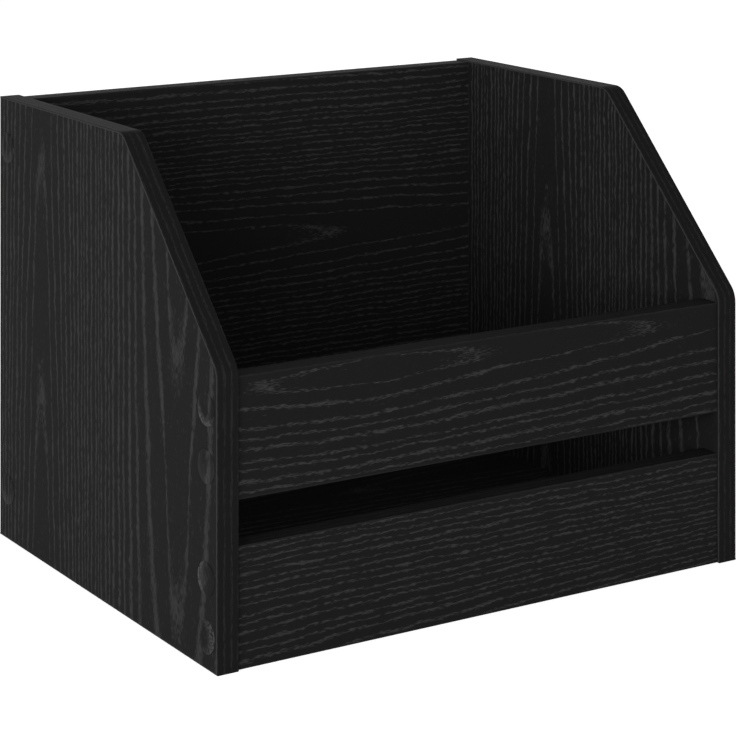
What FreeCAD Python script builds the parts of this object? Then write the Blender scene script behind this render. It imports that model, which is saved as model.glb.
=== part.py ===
import FreeCAD, Part
import math
import os
from FreeCAD import Vector

# Record storage box: two sides with a sloped front corner, a back, a bottom and two front slats.
# The boards are butted together. Screws hold the slats and the back between the sides, and
# dowels carry the bottom. Strips cover the sawn edges, and discs cover the screw heads.
# Frame: +Z up, +X to the right, the open front towards -Y. The origin is on the floor, under the
# middle of the box. All lengths are in millimetres.

# Overall sizes, over the edge strips
box_width = 405.0
box_depth = 320.0
box_height = 310.0

# Boards
board = 15.0
slat_height = 75.0
slat_gap = 28.0
slat_recess = 2.0
back_recess = 2.0
back_drop = 1.0

# Slope on the sides, which starts a little above the upper slat
slope_angle = 45.0
slope_lift = 5.0
corner_radius = 15.0

# Edge strips. The board under a bent strip is a little rounder, which leaves room for the glue.
band = 1.0
arris_radius = 0.6
corner_relief = 4.0

# One-piece furniture screws with a countersunk head and a hexagon socket
screw_length = 50.0
screw_head_diameter = 10.0
screw_head_rim = 1.0
screw_shank_diameter = 7.0
screw_thread_diameter = 6.0
screw_point_length = 3.0
screw_point_diameter = 3.0
screw_sink = 0.5
socket_width = 4.0
socket_depth = 2.5
slat_screw_edge = 20.0
back_screw_edge = 35.0

# Wooden dowels
dowel_diameter = 8.0
dowel_length = 30.0
dowel_chamfer = 1.0
dowel_in_side = 10.0
dowel_edge = 43.0
dowel_count = 3

# Room round a screw or a dowel in its hole
hole_clearance = 0.3

# Self-adhesive discs, set in from the edge so that they stay whole
cap_diameter = 21.0
cap_thickness = 0.4
cap_edge = 13.5

# Two places closer than this are one place
same_place = 1e-6

# Places worked out from the sizes above
side_outer = box_width / 2
side_inner = side_outer - board
front_edge = -box_depth / 2
back_edge = box_depth / 2
slat_front = front_edge + slat_recess
slat_back = slat_front + board
back_rear = back_edge - back_recess
back_front = back_rear - board
upper_slat_foot = slat_height + slat_gap
upper_slat_top = upper_slat_foot + slat_height
slope_foot = upper_slat_top + slope_lift
slope_drop = box_height - slope_foot
slope_run = slope_drop / math.tan(math.radians(slope_angle))
slope_top = front_edge + slope_run


def block(x, y, z):
    """A box between two limits on each axis."""
    sizes = [high - low for low, high in (x, y, z)]
    return Part.makeBox(*sizes, Vector(x[0], y[0], z[0]))


def mirrored(shape):
    """The same piece at the right-hand side."""
    return shape.mirror(Vector(0, 0, 0), Vector(1, 0, 0))


def copies(shape, places):
    """Moved copies of a shape, as one group of separate solids."""
    return Part.makeCompound([shape.translated(place) for place in places])


def drilled(shape, holes):
    """A board with the same holes at its left and its right end."""
    return shape.cut(holes).cut(mirrored(holes))


def side_prism(inset, radius):
    """The left side's outline, moved in by the inset on every edge, through the board's thickness."""
    slope_length = math.hypot(slope_run, slope_drop)
    front = front_edge + inset
    back = back_edge - inset
    top = box_height - inset
    foot = slope_foot - inset * (slope_length - slope_drop) / slope_run
    head = slope_top + inset * (slope_length - slope_run) / slope_drop
    corners = [(back, inset), (front, inset), (front, foot), (head, top), (back, top)]
    points = [Vector(-side_outer, y, z) for y, z in corners]
    outline = Part.makePolygon(points + points[:1])
    prism = Part.Face(outline).extrude(Vector(board, 0, 0))
    slope_ends = points[2:4]
    to_round = [edge for edge in prism.Edges if crosses_board(edge, slope_ends)]
    return prism.makeFillet(radius, to_round)


def crosses_board(edge, corners):
    """Whether an edge goes through the board's thickness from one of these corners."""
    ends = [vertex.Point for vertex in edge.Vertexes]
    across = abs(ends[0].x - ends[1].x) > board / 2
    return across and any(end.isEqual(corner, same_place) for end in ends for corner in corners)


def round_arrises(strip, outer):
    """Rounds the long edges of a strip that lie on the outline of its board."""
    rims = [face.OuterWire for face in outer.Faces if abs(face.normalAt(0, 0).x) > 0.9]
    long_edges = []
    for edge in strip.Edges:
        middle = Part.Vertex(edge.valueAt((edge.FirstParameter + edge.LastParameter) / 2))
        to_outline = min(rim.distToShape(middle)[0] for rim in rims)
        if edge.Length > 2 * band and to_outline < same_place:
            long_edges.append(edge)
    return strip.makeFillet(arris_radius, long_edges)


def side_strips():
    """The left side's edge strips: one over the top, slope and front, one on the back, one below."""
    outer = side_prism(0, corner_radius)
    inner = side_prism(band, corner_radius - band)
    across = (-side_outer, -side_inner)
    foot = block(across, (front_edge, back_edge), (0, band))
    back = block(across, (back_edge - band, back_edge), (band, box_height - band))
    front = outer.cut(inner).cut(foot).cut(back)
    return [round_arrises(strip, outer) for strip in (front, back, foot)]


def cross_strip(y, z, outer_z):
    """An edge strip on the top or the foot of a cross board, with its outer arrises rounded."""
    strip = block((-side_inner, side_inner), y, z)
    long_edges = []
    for edge in strip.Edges:
        if edge.Length > 2 * board and abs(edge.CenterOfMass.z - outer_z) < same_place:
            long_edges.append(edge)
    return strip.makeFillet(arris_radius, long_edges)


def cross_board(y, foot, top):
    """A board between the sides, with its top strip and its foot strip."""
    core = block((-side_inner, side_inner), y, (foot + band, top - band))
    top_strip = cross_strip(y, (top - band, top), top)
    foot_strip = cross_strip(y, (foot, foot + band), foot)
    return core, top_strip, foot_strip


def screw_form(grow, start):
    """A screw's turned form along +X from a side's outer face, its radii grown by a clearance."""
    head = screw_head_diameter / 2 + grow
    shank = screw_shank_diameter / 2 + grow
    thread = screw_thread_diameter / 2 + grow
    point = screw_point_diameter / 2 + grow
    cone_start = screw_sink + screw_head_rim
    cone_end = cone_start + head - shank
    tip = screw_sink + screw_length + grow
    profile = [
        (start, 0),
        (start, head),
        (cone_start, head),
        (cone_end, shank),
        (board, shank),
        (board, thread),
        (tip - screw_point_length, thread),
        (tip, point),
        (tip, 0),
    ]
    points = [Vector(along, 0, radius) for along, radius in profile]
    face = Part.Face(Part.makePolygon(points + points[:1]))
    return face.revolve(Vector(0, 0, 0), Vector(1, 0, 0), 360)


def make_screw():
    """One screw along +X, with the side's outer face at its origin and the head sunk below it."""
    corner = socket_width / math.sqrt(3)
    turns = [math.radians(60 * step) for step in range(7)]
    hexagon = [Vector(screw_sink, corner * math.cos(turn), corner * math.sin(turn)) for turn in turns]
    socket = Part.Face(Part.makePolygon(hexagon)).extrude(Vector(socket_depth, 0, 0))
    return screw_form(0, screw_sink).cut(socket)


def make_dowel(grow):
    """One dowel along +X, with the joint of the two boards at its origin, grown for its hole."""
    radius = dowel_diameter / 2 + grow
    length = dowel_length + 2 * grow
    start = Vector(-dowel_in_side - grow, 0, 0)
    dowel = Part.makeCylinder(radius, length, start, Vector(1, 0, 0))
    rims = [edge for edge in dowel.Edges if edge.Closed]
    return dowel.makeChamfer(dowel_chamfer, rims)


def make_cap():
    """One cover disc, lying on the left side's outer face at its origin."""
    return Part.makeCylinder(cap_diameter / 2, cap_thickness, Vector(-cap_thickness, 0, 0), Vector(1, 0, 0))


def screw_heights(foot, top, edge):
    """Heights of the two screws in the end of a board."""
    return [foot + edge, top - edge]


# Places of the fixings on the left side
lower_heights = screw_heights(0, slat_height, slat_screw_edge)
upper_heights = screw_heights(upper_slat_foot, upper_slat_top, slat_screw_edge)
back_heights = screw_heights(0, box_height, back_screw_edge)
slat_middle = (slat_front + slat_back) / 2
back_middle = (back_front + back_rear) / 2
lower_places = [Vector(-side_outer, slat_middle, height) for height in lower_heights]
upper_places = [Vector(-side_outer, slat_middle, height) for height in upper_heights]
back_places = [Vector(-side_outer, back_middle, height) for height in back_heights]
front_caps = [Vector(-side_outer, front_edge + cap_edge, height) for height in lower_heights + upper_heights]
back_caps = [Vector(-side_outer, back_edge - cap_edge, height) for height in back_heights]
first_dowel = slat_back + dowel_edge
last_dowel = back_front - dowel_edge
dowel_step = (last_dowel - first_dowel) / (dowel_count - 1)
dowel_depths = [first_dowel + dowel_step * index for index in range(dowel_count)]
dowel_places = [Vector(-side_inner, depth, board / 2) for depth in dowel_depths]

# Holes for the fixings on the left side
screw_hole = screw_form(hole_clearance, -screw_sink)
lower_holes = copies(screw_hole, lower_places)
upper_holes = copies(screw_hole, upper_places)
back_holes = copies(screw_hole, back_places)
dowel_holes = copies(make_dowel(hole_clearance), dowel_places)

# Boards between the sides
slat_depth = (slat_front, slat_back)
back_depth = (back_front, back_rear)
lower_slat, lower_top_strip, lower_foot_strip = cross_board(slat_depth, 0, slat_height)
upper_slat, upper_top_strip, upper_foot_strip = cross_board(slat_depth, upper_slat_foot, upper_slat_top)
back, back_top_strip, back_foot_strip = cross_board(back_depth, 0, box_height - back_drop)
bottom = block((-side_inner, side_inner), (slat_back, back_front), (0, board))
nodes = {
    "lower_front_slat": drilled(lower_slat, lower_holes),
    "lower_slat_top_band": lower_top_strip,
    "lower_slat_foot_band": lower_foot_strip,
    "upper_front_slat": drilled(upper_slat, upper_holes),
    "upper_slat_top_band": upper_top_strip,
    "upper_slat_under_band": upper_foot_strip,
    "back_panel": drilled(back, back_holes),
    "back_panel_top_band": back_top_strip,
    "back_panel_foot_band": back_foot_strip,
    "bottom_panel": drilled(bottom, dowel_holes),
}

# The left side with its strips and fixings, and its mirror image
side = side_prism(band, corner_radius - band + corner_relief)
for holes in (lower_holes, upper_holes, back_holes, dowel_holes):
    side = side.cut(holes)
front_strip, back_strip, foot_strip = side_strips()
screw = make_screw()
left_nodes = {
    "side_panel": side,
    "side_front_band": front_strip,
    "side_back_band": back_strip,
    "side_foot_band": foot_strip,
    "lower_slat_screws": copies(screw, lower_places),
    "upper_slat_screws": copies(screw, upper_places),
    "back_screws": copies(screw, back_places),
    "bottom_dowels": copies(make_dowel(0), dowel_places),
    "cover_caps": copies(make_cap(), front_caps + back_caps),
}
for name, shape in left_nodes.items():
    nodes["left_" + name] = shape
    nodes["right_" + name] = mirrored(shape)

# One file for each node
os.makedirs("parts", exist_ok=True)
for name, shape in nodes.items():
    shape.exportStep("parts/" + name + ".step")
    print(name, len(shape.Solids), "solids, valid", shape.isValid(), "volume", round(shape.Volume))
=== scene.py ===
# %% [markdown]
# This lesson dresses an open-topped record storage box in Blender. The real box is made of 15 mm
# board, covered on both faces with a black foil that is printed and pressed to look like oak.
# The boards, strips and fixings come finished from the CAD frame, so they are loaded and not
# modelled again. What they lack is their look: the oak print, the trimmed edges with a painted
# highlight along them, the stickers over the screws with a painted highlight on each, and the light.
# Those are made here, one small step at a time.

# %% Load the frame
import math
import bpy
from mathutils import Matrix, Vector


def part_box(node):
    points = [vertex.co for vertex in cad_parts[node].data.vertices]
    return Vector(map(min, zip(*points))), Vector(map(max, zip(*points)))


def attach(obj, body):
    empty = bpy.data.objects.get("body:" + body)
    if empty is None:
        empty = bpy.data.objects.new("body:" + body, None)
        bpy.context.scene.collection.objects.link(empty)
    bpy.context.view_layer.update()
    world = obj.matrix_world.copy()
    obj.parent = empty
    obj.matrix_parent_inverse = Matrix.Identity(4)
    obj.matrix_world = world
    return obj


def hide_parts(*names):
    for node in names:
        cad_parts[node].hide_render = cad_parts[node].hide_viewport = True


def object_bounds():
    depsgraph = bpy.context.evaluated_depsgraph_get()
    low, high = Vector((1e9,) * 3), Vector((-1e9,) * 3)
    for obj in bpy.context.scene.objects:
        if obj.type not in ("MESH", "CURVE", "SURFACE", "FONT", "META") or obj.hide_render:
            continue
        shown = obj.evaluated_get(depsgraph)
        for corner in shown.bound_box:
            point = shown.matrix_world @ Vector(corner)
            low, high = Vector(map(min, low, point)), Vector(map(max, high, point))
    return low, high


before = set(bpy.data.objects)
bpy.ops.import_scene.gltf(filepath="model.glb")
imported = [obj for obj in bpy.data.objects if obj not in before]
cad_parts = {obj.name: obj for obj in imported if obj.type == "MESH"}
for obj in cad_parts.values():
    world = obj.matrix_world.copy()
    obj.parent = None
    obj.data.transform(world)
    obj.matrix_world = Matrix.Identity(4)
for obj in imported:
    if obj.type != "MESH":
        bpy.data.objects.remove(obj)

cad_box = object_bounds()
print("loaded", len(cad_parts), "nodes, box", [round(side, 4) for side in cad_box[1] - cad_box[0]])

# %% [markdown]
# Every finish below is a small tree of nodes. Writing each node by hand takes four or five lines,
# so one helper adds a node, makes its settings and fills its inputs. An input is given a value, the
# output of another node, or a node, which then gives its first output. Some nodes hide inputs that
# share a name with the shown one, and so the helper looks only at those that are enabled. A second
# helper turns the usual hex colours into the linear values that shaders work with.

# %% Helpers for materials
def linear(hex_colour):
    """The linear colour of an sRGB hex value."""
    channels = [int(hex_colour[place:place + 2], 16) / 255 for place in (1, 3, 5)]
    low = [channel / 12.92 for channel in channels]
    high = [((channel + 0.055) / 1.055) ** 2.4 for channel in channels]
    return [a if channel <= 0.04045 else b for channel, a, b in zip(channels, low, high)] + [1.0]


def add_node(tree, kind, inputs=None, **settings):
    """Adds a node, makes its settings, and fills its inputs with values, sockets or other nodes."""
    node = tree.nodes.new(kind)
    for name, value in settings.items():
        setattr(node, name, value)
    enabled = [socket for socket in node.inputs if socket.enabled]
    for name, value in (inputs or {}).items():
        socket = enabled[name] if isinstance(name, int) else next(s for s in enabled if s.name == name)
        if isinstance(value, bpy.types.Node):
            value = next(output for output in value.outputs if output.enabled)
        if isinstance(value, bpy.types.NodeSocket):
            tree.links.new(value, socket)
        else:
            socket.default_value = value
    return node


def new_material(name):
    """An empty material with its tree."""
    material = bpy.data.materials.new(name)
    material.use_nodes = True
    material.node_tree.nodes.clear()
    return material, material.node_tree


def dress(piece, material):
    """Gives a piece one material."""
    piece.data.materials.clear()
    piece.data.materials.append(material)


foil_base = linear("#202020")
print("black foil base, linear:", [round(value, 4) for value in foil_base])

# %% [markdown]
# The oak print. A plain-sawn oak board shows its growth rings as nested arches, called cathedrals,
# with straight lines between them. An image would be the quick way, but it would repeat and blur,
# so the rings are counted with a formula. The formula needs to know where a point lies in its board:
# across the grain, along it, and below the board's first face. These lengths are in millimetres.

# %% Where a point lies in a board
metre = 1000.0


def third_axis(across, along):
    """The axis through a board's thickness."""
    return next(axis for axis in "XYZ" if axis not in (across, along))


def board_place(tree, node_name, across, along):
    """A point's place in millimetres: across the grain, along it, and below the board's first face."""
    through = third_axis(across, along)
    first_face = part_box(node_name)[0]["XYZ".index(through)]
    point = add_node(tree, "ShaderNodeTexCoord").outputs["Object"]
    axes = add_node(tree, "ShaderNodeSeparateXYZ", {0: point}).outputs
    depth = add_node(tree, "ShaderNodeMath", {0: axes[through], 1: first_face}, operation="SUBTRACT")
    place = add_node(tree, "ShaderNodeCombineXYZ", {"X": axes[across], "Y": axes[along], "Z": depth})
    return add_node(tree, "ShaderNodeVectorMath", {0: place, "Scale": metre}, operation="SCALE")


print("a place in a board is given in millimetres,", metre, "to the metre")

# %% [markdown]
# The arches of a board stand along its hearts. The formula takes two hearts for each board and lays a
# wave across it, which is 1 at the first heart and -1 at the second. No line in wood is quite straight,
# so a noise first moves each point to one side or the other. Its lumps are longest along the grain.

# %% A wave between two hearts
sway_size = (30.0, 70.0, 30.0)
sway_reach = 4.0
sway_detail = 4.0
sway_roughness = 0.78


def heart_wave(tree, place, hearts):
    """A wave across the board, 1 at the first heart and -1 at the second, along swaying lines."""
    lumps = add_node(tree, "ShaderNodeVectorMath", {0: place, 1: sway_size}, operation="DIVIDE")
    sway = add_node(tree, "ShaderNodeTexNoise", {
        "Vector": lumps, "Scale": 1.0, "Detail": sway_detail, "Roughness": sway_roughness})
    across = add_node(tree, "ShaderNodeSeparateXYZ", {0: place}).outputs["X"]
    across = add_node(
        tree, "ShaderNodeMath", {0: sway, 1: 2 * sway_reach, 2: across}, operation="MULTIPLY_ADD")
    turn = math.pi / (hearts[1] - hearts[0])
    first = -(hearts[0] + sway_reach) * turn
    angle = add_node(tree, "ShaderNodeMath", {0: across, 1: turn, 2: first}, operation="MULTIPLY_ADD")
    return add_node(tree, "ShaderNodeMath", {0: angle}, operation="COSINE")


print("a line sways by up to", sway_reach, "mm to each side")

# %% [markdown]
# The rings are counted along that wave. So the count stands still at the hearts, where the arches are,
# and runs fastest halfway between them, where the lines are closest. A skew makes the rings closer at
# the first heart than at the second. An extra step at a small distance from each heart leaves the
# innermost arch flat inside and gives it nearly parallel arms, as in real oak.

# %% Rings across a board
arch_step = 0.55


def rings_across(tree, wave, inside, rings, skew, start):
    """The count of rings across a board from the first heart, with a step round each innermost arch."""
    halfway = start + rings * (0.5 + skew) + arch_step
    pace = add_node(
        tree, "ShaderNodeMath", {0: wave, 1: -rings * skew, 2: -rings / 2}, operation="MULTIPLY_ADD")
    count = add_node(tree, "ShaderNodeMath", {0: wave, 1: pace, 2: halfway}, operation="MULTIPLY_ADD")
    which_heart = add_node(tree, "ShaderNodeMath", {0: wave}, operation="SIGN")
    stepping = add_node(tree, "ShaderNodeMath", {0: inside, 1: which_heart}, operation="MULTIPLY")
    return add_node(
        tree, "ShaderNodeMath", {0: stepping, 1: -arch_step, 2: count}, operation="MULTIPLY_ADD")


print("the innermost arch is set off by", arch_step, "of a ring")

# %% [markdown]
# Along the board the count drifts slowly near the hearts, and that closes the arches. Where it rises to
# both sides of a point instead, it closes them into an eye. It also rises from one face of the board to
# the other, so that the two faces don't show the same lines.

# %% Rings along and through a board
eye_roundness = 25.0
rings_through = 0.23


def rings_along(tree, place, wave, near_heart, count, tip, drift, eye):
    """The count of rings with what it gains along the board and below its first face."""
    axes = add_node(tree, "ShaderNodeSeparateXYZ", {0: place}).outputs
    away = add_node(tree, "ShaderNodeMath", {0: axes["Y"], 1: tip}, operation="SUBTRACT")
    drifting = add_node(tree, "ShaderNodeMath", {0: near_heart, 1: drift}, operation="MULTIPLY")
    count = add_node(tree, "ShaderNodeMath", {0: away, 1: drifting, 2: count}, operation="MULTIPLY_ADD")
    rounded = add_node(
        tree, "ShaderNodeMath", {0: away, 1: away, 2: eye_roundness ** 2}, operation="MULTIPLY_ADD")
    rounded = add_node(tree, "ShaderNodeMath", {0: rounded}, operation="SQRT")
    closing = add_node(
        tree, "ShaderNodeMath", {0: wave, 1: eye / 2, 2: eye / 2}, operation="MULTIPLY_ADD")
    count = add_node(
        tree, "ShaderNodeMath", {0: rounded, 1: closing, 2: count}, operation="MULTIPLY_ADD")
    return add_node(
        tree, "ShaderNodeMath", {0: axes["Z"], 1: rings_through, 2: count}, operation="MULTIPLY_ADD")


print("the rings lie", round(1 / rings_through, 1), "mm apart through the board")

# %% [markdown]
# A tree grows more in some years than in others, so some rings are wider. A noise along the count gives
# that. It fades near the hearts, so that the arches stay where they are. The values of a noise lie
# around a half, which is taken off.

# %% Good and bad years
good_year_every = 2.2
ring_variety = 1.0
noise_middle = 0.5


def uneven_years(tree, near_heart, count):
    """The count of rings, made uneven away from the hearts."""
    years = add_node(
        tree, "ShaderNodeTexNoise", {"W": count, "Scale": 1 / good_year_every, "Detail": 0.0},
        noise_dimensions="1D")
    years = add_node(tree, "ShaderNodeMath", {0: years, 1: noise_middle}, operation="SUBTRACT")
    variety = add_node(
        tree, "ShaderNodeMath", {0: near_heart, 1: -ring_variety, 2: ring_variety},
        operation="MULTIPLY_ADD")
    return add_node(tree, "ShaderNodeMath", {0: years, 1: variety, 2: count}, operation="MULTIPLY_ADD")


print("a good year comes about every", good_year_every, "rings")

# %% [markdown]
# What is wanted in the end is how far a point lies from the nearest whole ring. In the arms of an arch
# the rings are far apart, but their pale bands stay narrow, so there the distance grows. In the flat
# inside the band is wide and thin, as if feathered, so there the distance never quite reaches zero.

# %% How far a point lies from a ring
step_edge = 0.9
half_ring = 0.5
arm_reach = 4.0
arm_narrowing = 1.6
tip_thinning = 0.09


def ring_distance(tree, place, hearts, rings, skew=0.0, start=0.0, tip=0.0, drift=0.0, eye=0.0):
    """The distance to the nearest ring, as a part of the way from one ring to the next."""
    wave = heart_wave(tree, place, hearts)
    near_heart = add_node(tree, "ShaderNodeMath", {0: wave, 1: wave}, operation="MULTIPLY")
    inside = add_node(
        tree, "ShaderNodeMapRange", {"Value": near_heart, "From Min": step_edge, "From Max": 1.0},
        interpolation_type="SMOOTHSTEP")
    count = rings_across(tree, wave, inside, rings, skew, start)
    count = rings_along(tree, place, wave, near_heart, count, tip, drift, eye)
    count = uneven_years(tree, near_heart, count)

    to_ring = add_node(tree, "ShaderNodeMath", {0: count, 1: half_ring}, operation="PINGPONG")
    in_arm = add_node(tree, "ShaderNodeMath", {0: near_heart, 1: arm_reach}, operation="POWER")
    outside = add_node(tree, "ShaderNodeMath", {0: 1.0, 1: inside}, operation="SUBTRACT")
    in_arm = add_node(tree, "ShaderNodeMath", {0: in_arm, 1: outside}, operation="MULTIPLY")
    narrow = add_node(
        tree, "ShaderNodeMath", {0: in_arm, 1: arm_narrowing, 2: 1.0}, operation="MULTIPLY_ADD")
    to_ring = add_node(tree, "ShaderNodeMath", {0: to_ring, 1: narrow}, operation="MULTIPLY")
    return add_node(
        tree, "ShaderNodeMath", {0: inside, 1: tip_thinning, 2: to_ring}, operation="MULTIPLY_ADD")


print("a distance in an arm grows up to", 1 + arm_narrowing, "times")

# %% [markdown]
# The pale part of each ring is a band of open pores. They are short dashes along the grain, crowded
# on the ring and thinned out away from it, and some stretches have more of them than others. So the
# nearness of a ring is added to two noises that are stretched along the grain, one for the stretches
# and one for the dashes, and only the sum's peaks are printed. A fuller print starts at a lower sum.
# Real oak pores are about 0.3 mm wide. That is too fine for the picture, so they are drawn wider.

# %% The printed pores
ring_core = 0.03
ring_edge = 0.33
ring_weight = 0.5
stretch_size = (5.0, 18.0, 5.0)
stretch_detail = 1.0
stretch_contrast = 0.6
pore_size = (0.65, 4.5, 0.65)
pore_detail = 2.0
pore_contrast = 1.7
plain_below = 1.45
pore_above = 1.77


def printed_pores(tree, place, to_ring, fullness=0.0):
    """The mask of the pale pores, 0 on the plain foil and 1 in a pore."""
    nearness = {"From Min": ring_core, "From Max": ring_edge, "To Min": ring_weight, "To Max": 0.0}
    total = add_node(
        tree, "ShaderNodeMapRange", {"Value": to_ring, **nearness}, interpolation_type="SMOOTHSTEP")
    noises = ((stretch_size, stretch_detail, stretch_contrast), (pore_size, pore_detail, pore_contrast))
    for size, detail, contrast in noises:
        lumps = add_node(tree, "ShaderNodeVectorMath", {0: place, 1: size}, operation="DIVIDE")
        noise = add_node(tree, "ShaderNodeTexNoise", {"Vector": lumps, "Scale": 1.0, "Detail": detail})
        total = add_node(
            tree, "ShaderNodeMath", {0: noise, 1: contrast, 2: total}, operation="MULTIPLY_ADD")
    return add_node(tree, "ShaderNodeMapRange", {
        "Value": total, "From Min": plain_below - fullness, "From Max": pore_above - fullness})


print("a printed pore is about", pore_size[0], "mm wide and", pore_size[1], "mm long")

# %% [markdown]
# The foil is a printed film under a clear matt lacquer, pressed so that the pores are slightly sunk.
# To the eye it is a deep black with dull grey lines. The lacquer is plain resin with an IOR near 1.5,
# but it is filled with a matting agent and reflects the white room only faintly, most at a flat angle.

# %% Black oak foil
foil_pore = linear("#3B3B3B")
foil_gloss = 0.005
foil_roughness = 0.42
pore_roughness = 0.6
press_strength = 0.35
press_depth = 0.0001


def finish_foil(tree, pores, colour):
    """The pressed and lacquered surface over a printed colour."""
    pressing = {"Strength": press_strength, "Distance": press_depth, "Height": pores}
    relief = add_node(tree, "ShaderNodeBump", pressing, invert=True)
    roughness = add_node(
        tree, "ShaderNodeMapRange", {"Value": pores, "To Min": foil_roughness, "To Max": pore_roughness})
    shader = add_node(tree, "ShaderNodeBsdfPrincipled", {
        "Base Color": colour, "Roughness": roughness, "IOR": 1.5, "Specular IOR Level": foil_gloss,
        "Normal": relief})
    add_node(tree, "ShaderNodeOutputMaterial", {"Surface": shader})


def printed_foil(tree, place, fullness=0.0, **print_settings):
    """The mask of the pores and the printed colour at each place of a board."""
    pores = printed_pores(tree, place, ring_distance(tree, place, **print_settings), fullness)
    colour = add_node(
        tree, "ShaderNodeMix", {"Factor": pores, "A": foil_base, "B": foil_pore}, data_type="RGBA")
    return pores, colour


print("black foil pore, linear:", [round(value, 4) for value in foil_pore])

# %% [markdown]
# Under the foil is particle board. Its sawn edges are hidden by strips and by other boards, and they
# get the brown of pressed chips, chosen by the direction that a face looks. The last millimetre next
# to a face is black with glue.

# %% Particle board under the foil
board = 15.0
glue_reach = 1.0
foil_facing = 0.5
chip_size = (1.2, 3.0, 1.2)
chip_dark = linear("#8F7049")
chip_pale = linear("#C4A673")


def black_oak_foil(node_name, across, along, **print_settings):
    """Particle board under black oak foil, with the board's own print."""
    material, tree = new_material("black_oak_foil_" + node_name)
    place = board_place(tree, node_name, across, along)
    pores, printed = printed_foil(tree, place, **print_settings)

    lumps = add_node(tree, "ShaderNodeVectorMath", {0: place, 1: chip_size}, operation="DIVIDE")
    chips = add_node(tree, "ShaderNodeTexVoronoi", {"Vector": lumps, "Scale": 1.0}).outputs["Color"]
    sawn = add_node(
        tree, "ShaderNodeMix", {"Factor": chips, "A": chip_dark, "B": chip_pale}, data_type="RGBA")
    normal = add_node(tree, "ShaderNodeTexCoord").outputs["Normal"]
    facing = add_node(tree, "ShaderNodeSeparateXYZ", {0: normal}).outputs[third_axis(across, along)]
    facing = add_node(tree, "ShaderNodeMath", {0: facing}, operation="ABSOLUTE")
    foiled = add_node(tree, "ShaderNodeMath", {0: facing, 1: foil_facing}, operation="GREATER_THAN")
    depth = add_node(tree, "ShaderNodeSeparateXYZ", {0: place}).outputs["Z"]
    off_middle = add_node(tree, "ShaderNodeMath", {0: depth, 1: board / 2}, operation="SUBTRACT")
    off_middle = add_node(tree, "ShaderNodeMath", {0: off_middle}, operation="ABSOLUTE")
    glued = add_node(
        tree, "ShaderNodeMath", {0: off_middle, 1: board / 2 - glue_reach}, operation="GREATER_THAN")
    black = add_node(tree, "ShaderNodeMath", {0: foiled, 1: glued}, operation="MAXIMUM")
    colour = add_node(
        tree, "ShaderNodeMix", {"Factor": black, "A": sawn, "B": printed}, data_type="RGBA")
    finish_foil(tree, pores, colour)
    dress(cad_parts[node_name], material)


print("chips are about", chip_size[0], "by", chip_size[1], "mm")

# %% [markdown]
# Each board was cut from another place of the printed sheets, so each has its own hearts and its own
# number of rings. The grain runs upwards on the sides, and from left to right on all other boards. On
# the upper slat the rings close into an eye. The lower slat lies between two hearts, so it has only
# lines.

# %% Each board's own print
side_prints = {
    "left": dict(
        hearts=(90.7, -109.0), rings=22.5, skew=0.1445, tip=116.0, drift=1 / 156, fullness=0.1),
    "right": dict(
        hearts=(40.0, -150.0), rings=26.0, skew=0.1, tip=200.0, drift=1 / 170, fullness=0.09)}
for side_name, side_print in side_prints.items():
    black_oak_foil(side_name + "_side_panel", "Y", "Z", **side_print)
black_oak_foil(
    "upper_front_slat", "Z", "X", hearts=(169.0, 59.0), rings=13.2, start=-0.6, tip=-90.0, eye=0.0073)
black_oak_foil("lower_front_slat", "Z", "X", hearts=(-90.0, 210.0), rings=44.0, drift=-0.033)
black_oak_foil(
    "back_panel", "Z", "X", hearts=(190.0, 20.0), rings=24.0, skew=0.1, tip=60.0, drift=1 / 180)
black_oak_foil(
    "bottom_panel", "Y", "X", hearts=(70.0, -120.0), rings=26.0, tip=-40.0, drift=-1 / 170)
print("foil on", sum("foil" in material.name for material in bpy.data.materials), "boards")

# %% [markdown]
# The edge strips are 1 mm plastic with two printed rings along them. Their sides and rounded
# arrises were trimmed flush with a scraper after gluing. Along the arrises a pale band is painted,
# partly the bared plastic and partly a painted highlight where the rounding catches the light. It is
# painted brighter on the side strips than on the cross strips. On the sides one strip runs over the
# top, the slope and the front, so the length along it is taken as the sum of Y and Z, which changes
# along all three. Across it the place is measured from its own middle line.

# %% Black oak edge strips, with a painted highlight on their arrises
strip_ring = 5.0
strip_sway_size = (8.0, 30.0, 8.0)
strip_sway = 0.25
strip_base = linear("#1D1D1D")
strip_pore = linear("#2B2B2B")
# The pale band at the arrises is partly bared plastic and partly a painted highlight, painted brighter
# on the side strips.
scraped_highlight_width = 0.2
side_scraped_highlight = linear("#3C3C3C")
cross_scraped_highlight = linear("#262626")
side_middle = 195.0
cross_middle = 150.5


def strip_place(tree, across, along, middle):
    """How far a point lies off a strip's middle line, and its place on the strip, in millimetres."""
    point = add_node(tree, "ShaderNodeTexCoord").outputs["Object"]
    point = add_node(tree, "ShaderNodeVectorMath", {0: point, "Scale": metre}, operation="SCALE")
    axes = add_node(tree, "ShaderNodeSeparateXYZ", {0: point}).outputs
    aside = add_node(tree, "ShaderNodeMath", {0: axes[across]}, operation="ABSOLUTE")
    aside = add_node(tree, "ShaderNodeMath", {0: aside, 1: middle}, operation="SUBTRACT")
    length = axes[along[0]]
    for axis in along[1:]:
        length = add_node(tree, "ShaderNodeMath", {0: length, 1: axes[axis]}, operation="ADD")
    place = add_node(tree, "ShaderNodeCombineXYZ", {"X": aside, "Y": length, "Z": axes[across]})
    return aside, place


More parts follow.
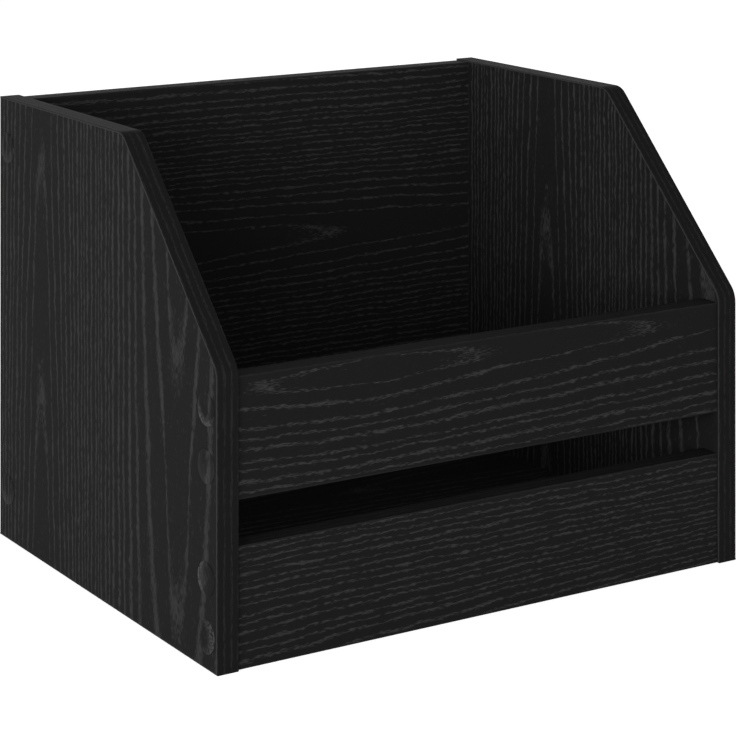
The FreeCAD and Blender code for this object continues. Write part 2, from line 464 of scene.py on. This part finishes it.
def black_oak_strip(name, across, along, middle, scraped_highlight_colour):
    """The printed edge strip with a painted highlight on its trimmed arrises, for strips whose middle
    line is this far from the box's middle.
    """
    material, tree = new_material("black_oak_edge_strip_" + name)
    aside, place = strip_place(tree, across, along, middle)
    lumps = add_node(tree, "ShaderNodeVectorMath", {0: place, 1: strip_sway_size}, operation="DIVIDE")
    sway = add_node(tree, "ShaderNodeTexNoise", {"Vector": lumps, "Scale": 1.0, "Detail": 2.0})
    sway = add_node(tree, "ShaderNodeMath", {0: sway, 1: 2 * strip_sway}, operation="MULTIPLY")
    count = add_node(
        tree, "ShaderNodeMath", {0: aside, 1: 1 / strip_ring, 2: sway}, operation="MULTIPLY_ADD")
    count = add_node(tree, "ShaderNodeMath", {0: count, 1: half_ring - strip_sway}, operation="ADD")
    to_ring = add_node(tree, "ShaderNodeMath", {0: count, 1: half_ring}, operation="PINGPONG")
    pores = printed_pores(tree, place, to_ring)
    printed = add_node(
        tree, "ShaderNodeMix", {"Factor": pores, "A": strip_base, "B": strip_pore}, data_type="RGBA")

    # The last 0.2 mm to each side are painted pale: bared plastic and a painted highlight on the rounded
    # arris.
    to_side = add_node(tree, "ShaderNodeMath", {0: aside}, operation="ABSOLUTE")
    scraped_highlight_band = add_node(
        tree, "ShaderNodeMapRange",
        {"Value": to_side, "From Min": board / 2 - scraped_highlight_width, "From Max": board / 2})
    colour = add_node(
        tree, "ShaderNodeMix", {"Factor": scraped_highlight_band, "A": printed, "B": scraped_highlight_colour}, data_type="RGBA")
    finish_foil(tree, pores, colour)
    return material


side_strip = black_oak_strip("side", "X", "YZ", side_middle, side_scraped_highlight)
cross_strip = black_oak_strip("cross", "Y", "X", cross_middle, cross_scraped_highlight)
for node_name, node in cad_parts.items():
    if "side" in node_name and "band" in node_name:
        dress(node, side_strip)
    elif "band" in node_name:
        dress(node, cross_strip)
print("strips with two rings each,", strip_ring, "mm apart")

# %% [markdown]
# The screw heads are covered by round stickers, cut from the same foil and pressed on with a thumb.
# On the real box they show only faintly: each sinks a little over the screw's hole and catches the
# light along one side of its rim. A texture on the CAD disc couldn't give the soft rim or the dent,
# so one disc is modelled and copied. It starts as a cylinder that lies on the floor. Its upper edge
# is bevelled, and two insets make the dent. An operator acts on all that is selected, so a helper
# selects the faces that pass a test.

# %% One cover disc
disc_radius = 0.0105
disc_thickness = 0.0004
disc_rim = 0.00025
dent_radius = 0.0048
dent_slope = 0.0015
dent_depth = 0.00012
disc_sides = 64


def looks_up(face):
    """Whether a face is level and looks up."""
    return face.normal.z > 0.999


def looks_down(face):
    """Whether a face is level and looks down."""
    return face.normal.z < -0.999


def edit_faces(piece, wanted):
    """Opens a piece in edit mode, with only those faces selected that pass a test."""
    bpy.context.view_layer.objects.active = piece
    bpy.ops.object.mode_set(mode="EDIT")
    bpy.ops.mesh.select_mode(type="FACE")
    bpy.ops.mesh.select_all(action="DESELECT")
    bpy.ops.object.mode_set(mode="OBJECT")
    for face in piece.data.polygons:
        face.select = wanted(face)
    bpy.ops.object.mode_set(mode="EDIT")


bpy.ops.object.select_all(action="DESELECT")
bpy.ops.mesh.primitive_cylinder_add(
    vertices=disc_sides, radius=disc_radius, depth=disc_thickness,
    location=(0.0, 0.0, disc_thickness / 2))
disc = bpy.context.object
bpy.ops.object.transform_apply(location=True, rotation=True, scale=True)
edit_faces(disc, looks_up)
bpy.ops.mesh.bevel(offset=disc_rim, segments=3, affect="EDGES")
bpy.ops.object.mode_set(mode="OBJECT")
edit_faces(disc, looks_up)
bpy.ops.mesh.inset(thickness=disc_radius - disc_rim - dent_radius)
bpy.ops.mesh.inset(thickness=dent_slope, depth=-dent_depth)
bpy.ops.mesh.poke()
bpy.ops.object.mode_set(mode="OBJECT")
bpy.ops.object.shade_smooth_by_angle(angle=math.radians(50))
print("one disc has", len(disc.data.polygons), "faces")

# %% [markdown]
# Each sticker was pressed on by hand, so each catches the light on another side of its rim, and that
# light is painted on as a pale crescent. Its copy gets its own UV map, turned so that this side is at
# the bottom of the map. A small attribute carries three more facts about this painted highlight to the
# material: where it starts, how bright it is painted, and how much it is broken into painted glints.
# The copies of one side are joined into one piece, which takes the place of that side's CAD discs.
# Copying, placing and joining come back for the screws and the dowels, so each of the three is a helper.

# %% The discs on both sides
# Each sticker's painted highlight: where its pale crescent starts, how bright it is painted, and how
# much it is broken into painted glints.
stickers = [
    dict(y=-0.1465, z=0.020, turn=95.0, painted_highlight=(0.35, 0.55, 1.0)),
    dict(y=-0.1465, z=0.055, turn=-85.0, painted_highlight=(0.55, 0.8, 0.8)),
    dict(y=-0.1465, z=0.123, turn=10.0, painted_highlight=(0.0, 0.14, 0.3)),
    dict(y=-0.1465, z=0.158, turn=-25.0, painted_highlight=(0.5, 0.7, 0.8)),
    dict(y=0.1465, z=0.035, turn=8.0, painted_highlight=(0.4, 0.3, 0.5)),
    dict(y=0.1465, z=0.275, turn=-5.0, painted_highlight=(0.4, 0.3, 0.5))]
box_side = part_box("right_side_panel")[1].x


def own_copy(piece):
    """A copy of a piece with its own mesh, selected alone."""
    bpy.ops.object.select_all(action="DESELECT")
    piece.select_set(True)
    bpy.context.view_layer.objects.active = piece
    bpy.ops.object.duplicate()
    return bpy.context.object


def set_in_side(piece, side, x, y, z):
    """Moves an upright piece into the left side, -1, or the right side, 1, with its top outwards."""
    piece.rotation_euler = (0.0, side * math.pi / 2, 0.0)
    piece.location = (side * x, y, z)
    bpy.ops.object.transform_apply(location=True, rotation=True, scale=True)


def stand_for(node_name, copies, name):
    """Joins copies into one piece that takes the place of a CAD node."""
    bpy.ops.object.select_all(action="DESELECT")
    for copy in copies:
        copy.select_set(True)
    bpy.context.view_layer.objects.active = copies[0]
    bpy.ops.object.join()
    piece = bpy.context.object
    piece.name = name
    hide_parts(node_name)
    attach(piece, "root")
    print(piece.name, "has", len(piece.data.polygons), "faces")
    return piece


def stick_disc(side, sticker):
    """A copy of the disc on the left side, -1, or the right side, 1."""
    copy = own_copy(disc)
    mesh = copy.data
    turn = math.radians(sticker["turn"])
    for corner, spot in zip(mesh.loops, mesh.uv_layers.active.data):
        point = mesh.vertices[corner.vertex_index].co / disc_radius / 2
        back, up = point.y, -side * point.x
        spot.uv = (
            back * math.cos(turn) - up * math.sin(turn) + 0.5,
            back * math.sin(turn) + up * math.cos(turn) + 0.5)
    # The attribute carries the facts of this sticker's painted highlight.
    painted_highlight = mesh.attributes.new("painted_highlight", "FLOAT_VECTOR", "POINT")
    for fact in painted_highlight.data:
        fact.vector = sticker["painted_highlight"]
    set_in_side(copy, side, box_side, sticker["y"], sticker["z"])
    return copy


sides = {"left": -1, "right": 1}
cover_discs = {}
for side_name, side in sides.items():
    copies = [stick_disc(side, sticker) for sticker in stickers]
    cover_discs[side_name] = stand_for(
        side_name + "_cover_caps", copies, side_name + "_cover_discs")
bpy.data.objects.remove(disc)

# %% [markdown]
# The stickers are cut from the same foil and picked to match, so the board's grain seems to run on over
# them, and they use its print. Over the print a painted highlight is laid: a pale crescent where the rim
# would catch the light. In the turned UV map it is what lies far from a point near the top. A fine noise
# breaks it into painted glints. Few values of a noise are far from a half, so only its middle range is
# used.

# %% Black oak foil on the discs, with a painted highlight
# The grey of the painted highlight, and the size of its painted glints.
crescent_top = (0.5, 0.8, 0.0)
painted_glint_colour = linear("#565656")
sparkle_size = 1.5
noise_low = 0.3
noise_high = 0.7
for side_name, discs in cover_discs.items():
    material, tree = new_material("black_oak_cover_foil_" + side_name)
    place = board_place(tree, side_name + "_side_panel", "Y", "Z")
    pores, printed = printed_foil(tree, place, **side_prints[side_name])
    uv = add_node(tree, "ShaderNodeTexCoord").outputs["UV"]
    away = add_node(
        tree, "ShaderNodeVectorMath", {0: uv, 1: crescent_top}, operation="DISTANCE").outputs["Value"]
    painted_highlight = add_node(tree, "ShaderNodeAttribute", attribute_name="painted_highlight").outputs["Vector"]
    start, strength, sparkle = add_node(tree, "ShaderNodeSeparateXYZ", {0: painted_highlight}).outputs
    # The crescent is a painted highlight. A fine noise breaks it into painted glints.
    crescent = add_node(tree, "ShaderNodeMapRange", {
        "Value": away, "From Min": start, "From Max": crescent_top[1], "To Max": strength})
    glint_speckle = add_node(
        tree, "ShaderNodeTexNoise", {"Vector": place, "Scale": 1 / sparkle_size, "Detail": 1.0})
    glint_speckle = add_node(tree, "ShaderNodeMapRange", {
        "Value": glint_speckle, "From Min": noise_low, "From Max": noise_high, "To Min": -1.0, "To Max": 1.0})
    glint_speckle = add_node(tree, "ShaderNodeMath", {0: glint_speckle, 1: sparkle, 2: 1.0}, operation="MULTIPLY_ADD")
    crescent = add_node(tree, "ShaderNodeMath", {0: crescent, 1: glint_speckle}, operation="MULTIPLY")
    colour = add_node(
        tree, "ShaderNodeMix", {"Factor": crescent, "A": printed, "B": painted_glint_colour}, data_type="RGBA")
    finish_foil(tree, pores, colour)
    dress(discs, material)
    print("foil on", discs.name)

# %% [markdown]
# The boards are held by one-piece furniture screws. Each has a countersunk head with a hexagon socket,
# a plain shank as long as the side board is thick, a coarse thread that bites in the other board, and
# a short point. The CAD screw has a plain stem in place of the thread. A thread could be a bump in the
# material, but then it would be lost on a screw that is taken out. So a screw is modelled, head up, as
# if it hung in a hole in the floor. A low cylinder for the head's rim is extruded and narrowed
# downwards, step by step, and a Boolean cuts the socket.

# %% One furniture screw
head_radius = 0.005
head_rim = 0.001
head_rounding = 0.00015
shank_radius = 0.0035
shank_end = 0.0145
core_radius = 0.0022
core_end = 0.047
point_radius = 0.0012
point_end = 0.050
socket_width = 0.004
socket_depth = 0.0025
screw_sides = 48


def stretch_down(length, narrowing=1.0):
    """Extrudes the selected face downwards and scales its new end round the axis."""
    bpy.ops.mesh.extrude_region_move(TRANSFORM_OT_translate={"value": (0.0, 0.0, -length)})
    bpy.ops.transform.resize(value=(narrowing, narrowing, 1.0), center_override=(0.0, 0.0, 0.0))


def combine(piece, other, operation):
    """Applies a Boolean to a piece and removes the other one."""
    boolean = piece.modifiers.new("boolean", "BOOLEAN")
    boolean.object = other
    boolean.operation = operation
    bpy.context.view_layer.objects.active = piece
    bpy.ops.object.modifier_apply(modifier=boolean.name)
    bpy.data.objects.remove(other)


bpy.ops.object.select_all(action="DESELECT")
bpy.ops.mesh.primitive_cylinder_add(
    vertices=screw_sides, radius=head_radius, depth=head_rim, location=(0.0, 0.0, -head_rim / 2))
screw = bpy.context.object
bpy.ops.object.transform_apply(location=True, rotation=True, scale=True)
edit_faces(screw, looks_down)
cone_length = head_radius - shank_radius
stretch_down(cone_length, shank_radius / head_radius)
stretch_down(shank_end - head_rim - cone_length)
bpy.ops.mesh.inset(thickness=shank_radius - core_radius)
stretch_down(core_end - shank_end)
stretch_down(point_end - core_end, point_radius / core_radius)
bpy.ops.object.mode_set(mode="OBJECT")
edit_faces(screw, looks_up)
bpy.ops.mesh.bevel(offset=head_rounding, segments=2, affect="EDGES")
bpy.ops.object.mode_set(mode="OBJECT")
bpy.ops.object.select_all(action="DESELECT")
bpy.ops.mesh.primitive_cylinder_add(
    vertices=6, radius=socket_width / math.sqrt(3), depth=2 * socket_depth)
combine(screw, bpy.context.object, "DIFFERENCE")
print("screw without its thread,", [round(size * metre, 2) for size in screw.dimensions], "mm")

# %% [markdown]
# The thread is one ridge that winds round the core. Its section is a triangle with 60 degree flanks, so
# a circle with three corners gives it, turned upright with one corner pointing outwards. Such a
# triangle is one and a half times as high as the circle's radius. The Screw modifier winds it upwards,
# which makes a right-handed thread. Its two ends are then closed, its normals turned outwards, and a
# Boolean makes it one body with the core.

# %% The thread
thread_radius = 0.003
thread_pitch = 0.003
thread_turns = 10
thread_foot = 0.0458
thread_steps = 32
root_overlap = 0.0002
height_to_radius = 1.5
ridge_radius = (thread_radius - core_radius + root_overlap) / height_to_radius
bpy.ops.object.select_all(action="DESELECT")
bpy.ops.mesh.primitive_circle_add(
    vertices=3, radius=ridge_radius, location=(thread_radius - ridge_radius, 0.0, -thread_foot),
    rotation=(math.pi / 2, math.pi / 2, 0.0))
thread = bpy.context.object
bpy.ops.object.transform_apply(location=True, rotation=True, scale=True)
winding = thread.modifiers.new("winding", "SCREW")
winding.screw_offset = thread_pitch
winding.iterations = thread_turns
winding.steps = thread_steps
winding.render_steps = thread_steps
bpy.ops.object.modifier_apply(modifier=winding.name)
edit_faces(thread, lambda face: True)
bpy.ops.mesh.remove_doubles(threshold=1e-6)
bpy.ops.mesh.fill_holes(sides=3)
bpy.ops.mesh.normals_make_consistent(inside=False)
bpy.ops.object.mode_set(mode="OBJECT")
combine(screw, thread, "UNION")
screw.select_set(True)
bpy.ops.object.shade_smooth_by_angle(angle=math.radians(35))
print("screw with its thread,", len(screw.data.polygons), "faces")

# %% [markdown]
# Each CAD group of screws holds two, one above the other, in the end of one board. Their heads are sunk
# half a millimetre below the side's face, so that the stickers lie flat.

# %% The screws in both sides
head_sink = 0.0005
screw_rows = {
    "lower_slat": dict(y=-0.1505, heights=(0.020, 0.055)),
    "upper_slat": dict(y=-0.1505, heights=(0.123, 0.158)),
    "back": dict(y=0.1505, heights=(0.035, 0.275))}
screw_groups = []
for side_name, side in sides.items():
    for row_name, row in screw_rows.items():
        copies = []
        for height in row["heights"]:
            copies.append(own_copy(screw))
            set_in_side(copies[-1], side, box_side - head_sink, row["y"], height)
        group_name = side_name + "_" + row_name
        screw_groups.append(stand_for(
            group_name + "_screws", copies, group_name + "_threaded_screws"))
bpy.data.objects.remove(screw)

# %% [markdown]
# The screws are steel, rolled to shape and then zinc-plated in a tumbling barrel. That gives a pale,
# slightly bluish grey metal whose gloss is a little uneven. They are hidden in the boards, but the part
# can be taken apart, so they get a proper finish: plain metal with a noise in its roughness.

# %% Zinc-plated steel on the screws
zinc = linear("#C4C7C9")
plating_size = 1.5
plating_smooth = 0.24
plating_rough = 0.42
material, tree = new_material("zinc_plated_steel")
point = add_node(tree, "ShaderNodeTexCoord").outputs["Object"]
clouds = add_node(
    tree, "ShaderNodeTexNoise", {"Vector": point, "Scale": metre / plating_size, "Detail": 3.0})
roughness = add_node(tree, "ShaderNodeMapRange", {
    "Value": clouds, "From Min": noise_low, "From Max": noise_high, "To Min": plating_smooth,
    "To Max": plating_rough})
relief = add_node(tree, "ShaderNodeBump", {"Strength": 0.1, "Distance": 0.0001, "Height": clouds})
shader = add_node(tree, "ShaderNodeBsdfPrincipled", {
    "Base Color": zinc, "Metallic": 1.0, "Roughness": roughness, "Normal": relief})
add_node(tree, "ShaderNodeOutputMaterial", {"Surface": shader})
for group in screw_groups:
    dress(group, material)
print("zinc on", len(screw_groups), "groups of screws")

# %% [markdown]
# The bottom board rests on wooden dowels. A bought dowel is chamfered at both ends, so that it finds its
# hole, and pressed with flutes along its length, which let air and spare glue out. The CAD dowel is
# smooth. So a cylinder with 48 sides gets its ends bevelled, and every third side is inset and sunk.

# %% One fluted dowel
dowel_radius = 0.004
dowel_length = 0.030
dowel_chamfer = 0.001
flute_wall = 0.00005
flute_depth = 0.0003
dowel_sides = 48
flute_every = 3


def side_number(face):
    """The number of a dowel's side, counted round its axis."""
    turn = math.atan2(face.center.y, face.center.x) / (2 * math.pi)
    return math.floor(turn * dowel_sides)


bpy.ops.object.select_all(action="DESELECT")
bpy.ops.mesh.primitive_cylinder_add(vertices=dowel_sides, radius=dowel_radius, depth=dowel_length)
dowel = bpy.context.object
edit_faces(dowel, lambda face: looks_up(face) or looks_down(face))
bpy.ops.mesh.bevel(offset=dowel_chamfer, segments=1, affect="EDGES")
bpy.ops.object.mode_set(mode="OBJECT")
edit_faces(dowel, lambda face: abs(face.normal.z) < 0.001 and side_number(face) % flute_every == 0)
bpy.ops.mesh.inset(thickness=flute_wall, depth=-flute_depth, use_individual=True)
bpy.ops.object.mode_set(mode="OBJECT")
bpy.ops.object.shade_smooth_by_angle(angle=math.radians(20))
print("one dowel has", len(dowel.data.polygons), "faces")

# %% [markdown]
# A third of each dowel sits in the side and two thirds in the bottom board, halfway up its thickness.
# Three dowels on each side carry the board when the box is lifted.

# %% The dowels in both sides
dowel_middle = 0.1825
dowel_height = 0.0075
dowel_depths = (-0.1, 0.0, 0.1)
dowel_groups = []
for side_name, side in sides.items():
    copies = []
    for depth in dowel_depths:
        copies.append(own_copy(dowel))
        set_in_side(copies[-1], side, dowel_middle, depth, dowel_height)
    dowel_groups.append(stand_for(
        side_name + "_bottom_dowels", copies, side_name + "_fluted_dowels"))
bpy.data.objects.remove(dowel)

# %% [markdown]
# The dowels are beech: a pale reddish wood with no visible rings at this size, but with short darker
# flecks along the grain. A dowel is turned along its grain, so the flecks are a noise that is
# stretched along X.

# %% Beech on the dowels
beech_pale = linear("#CFA878")
beech_fleck = linear("#A87A4C")
fleck_size = (2.5, 0.3, 0.3)
fleck_starts = 0.52
fleck_full = 0.68
material, tree = new_material("beech")
point = add_node(tree, "ShaderNodeTexCoord").outputs["Object"]
point = add_node(tree, "ShaderNodeVectorMath", {0: point, "Scale": metre}, operation="SCALE")
lumps = add_node(tree, "ShaderNodeVectorMath", {0: point, 1: fleck_size}, operation="DIVIDE")
flecks = add_node(tree, "ShaderNodeTexNoise", {"Vector": lumps, "Scale": 1.0, "Detail": 2.0})
flecks = add_node(
    tree, "ShaderNodeMapRange", {"Value": flecks, "From Min": fleck_starts, "From Max": fleck_full})
colour = add_node(
    tree, "ShaderNodeMix", {"Factor": flecks, "A": beech_pale, "B": beech_fleck}, data_type="RGBA")
relief = add_node(
    tree, "ShaderNodeBump", {"Strength": 0.3, "Distance": 0.0001, "Height": flecks}, invert=True)
shader = add_node(tree, "ShaderNodeBsdfPrincipled", {
    "Base Color": colour, "Roughness": 0.6, "IOR": 1.5, "Normal": relief})
add_node(tree, "ShaderNodeOutputMaterial", {"Surface": shader})
for group in dowel_groups:
    dress(group, material)
print("beech on", len(dowel_groups), "groups of dowels")

# %% [markdown]
# The box stands on white paper, as in a product picture. Lit only by the room and the lamp that follow,
# the paper would come out pale grey. A brighter lamp would spoil the black of the box, so the paper also
# glows, but only for rays that come from the camera or from a reflection. Rays that light the box don't
# see the glow, and the box's shadow still falls on the paper.

# %% White paper floor
paper_white = linear("#F5F5F5")
paper_glow = 0.72
floor_size = 16.0
bpy.ops.object.select_all(action="DESELECT")
bpy.ops.mesh.primitive_plane_add(size=floor_size)
floor = bpy.context.object
floor.name = "floor"


def seen_directly(tree):
    """1 for a ray that shows a thing to the camera, straight or reflected, and 0 for one that lights."""
    path = add_node(tree, "ShaderNodeLightPath").outputs
    seen = add_node(
        tree, "ShaderNodeMath", {0: path["Is Camera Ray"], 1: path["Is Glossy Ray"]},
        operation="MAXIMUM")
    return add_node(
        tree, "ShaderNodeMath", {0: seen, 1: path["Is Transmission Ray"]}, operation="MAXIMUM")


material, tree = new_material("white_paper")
glowing = add_node(tree, "ShaderNodeMath", {0: seen_directly(tree), 1: paper_glow}, operation="MULTIPLY")
paper = add_node(tree, "ShaderNodeBsdfDiffuse", {"Color": paper_white})
glow = add_node(tree, "ShaderNodeEmission", {"Color": linear("#FFFFFF"), "Strength": glowing})
surface = add_node(tree, "ShaderNodeAddShader", {0: paper, 1: glow})
add_node(tree, "ShaderNodeOutputMaterial", {"Surface": surface})
dress(floor, material)
print("floor", [round(side, 1) for side in floor.dimensions], "m")

# %% [markdown]
# Around the box is a white room. The camera sees it plain white. The light that it gives fades from the
# walls to the ceiling, because a black box shows its form best when its top edges shine more by
# reflection than by light from above. Some light from above is kept for the inside of the box.

# %% White room
wall_light = 0.8
ceiling_light = 0.2
world = bpy.data.worlds.new("white_room")
bpy.context.scene.world = world
world.use_nodes = True
tree = world.node_tree
tree.nodes.clear()
direction = add_node(tree, "ShaderNodeTexCoord")
height = add_node(tree, "ShaderNodeSeparateXYZ", {0: direction}).outputs["Z"]
walls = add_node(
    tree, "ShaderNodeMapRange", {"Value": height, "To Min": wall_light, "To Max": ceiling_light})
light = add_node(tree, "ShaderNodeMath", {0: seen_directly(tree), 1: walls}, operation="MAXIMUM")
background = add_node(tree, "ShaderNodeBackground", {"Color": linear("#FFFFFF"), "Strength": light})
add_node(tree, "ShaderNodeOutputWorld", {"Surface": background})
print("room lit by", world.name)

# %% [markdown]
# One large soft lamp stands low at the left and in front. It makes the left side a little brighter than
# the front, so that the two are told apart.

# %% Soft lamp
lamp_direction = Vector((-0.8, -0.58, 0.17)).normalized()
lamp_distance = 3.0
lamp_data = bpy.data.lights.new("soft_lamp", "AREA")
lamp_data.shape = "RECTANGLE"
lamp_data.size = 2.4
lamp_data.size_y = 0.9
lamp_data.energy = 50.0
lamp = bpy.data.objects.new("soft_lamp", lamp_data)
bpy.context.scene.collection.objects.link(lamp)
lamp.location = (cad_box[0] + cad_box[1]) / 2 + lamp_direction * lamp_distance
lamp.rotation_mode = "QUATERNION"
lamp.rotation_quaternion = lamp_direction.to_track_quat("Z", "Y")
print("lamp at", [round(place, 2) for place in lamp.location], "with", lamp_data.energy, "W")

# %% [markdown]
# In the picture the upright edges of the box are parallel, although the camera looks down at it. That
# is a view camera's upright picture plane. A lens shift would give it, but the shift would be nearly
# the whole width of the picture, and any other view with that camera would miss the box. So the camera
# has no shift. It looks down at the box as any camera does, and it hangs from an empty whose parent
# matrix shears it, which sets its picture plane upright. The place, the heading and the focal length
# were found by matching the corners of the box, in pixels of a picture 736 wide.

# %% Camera
picture_width = 736.0
focal_pixels = 2531.7
horizon_pixel = -267.89
heading = math.radians(32.0745)
camera_place = Vector((-0.93394, -1.498093, 0.567887))
dip = (picture_width / 2 - horizon_pixel) / focal_pixels
right = Vector((math.cos(heading), -math.sin(heading), 0.0))
up = Vector((0.0, 0.0, 1.0))
backwards = Vector((-math.sin(heading), -math.cos(heading), dip))
camera_data = bpy.data.cameras.new("camera")
camera_data.sensor_width = 36.0
camera_data.lens = camera_data.sensor_width * focal_pixels * backwards.length / picture_width
camera = bpy.data.objects.new("camera", camera_data)
stand = bpy.data.objects.new("camera_stand", None)
for thing in (camera, stand):
    bpy.context.scene.collection.objects.link(thing)
camera.parent = stand
upright = Matrix((right, up, backwards.normalized())).transposed().to_4x4()
camera.matrix_parent_inverse = Matrix.Translation(camera_place) @ upright
bpy.context.scene.camera = camera
bpy.context.scene.view_settings.view_transform = "Standard"
look_down = math.degrees(math.atan(dip))
print("lens", round(camera_data.lens, 1), "mm, looking down by", round(look_down, 1), "degrees")
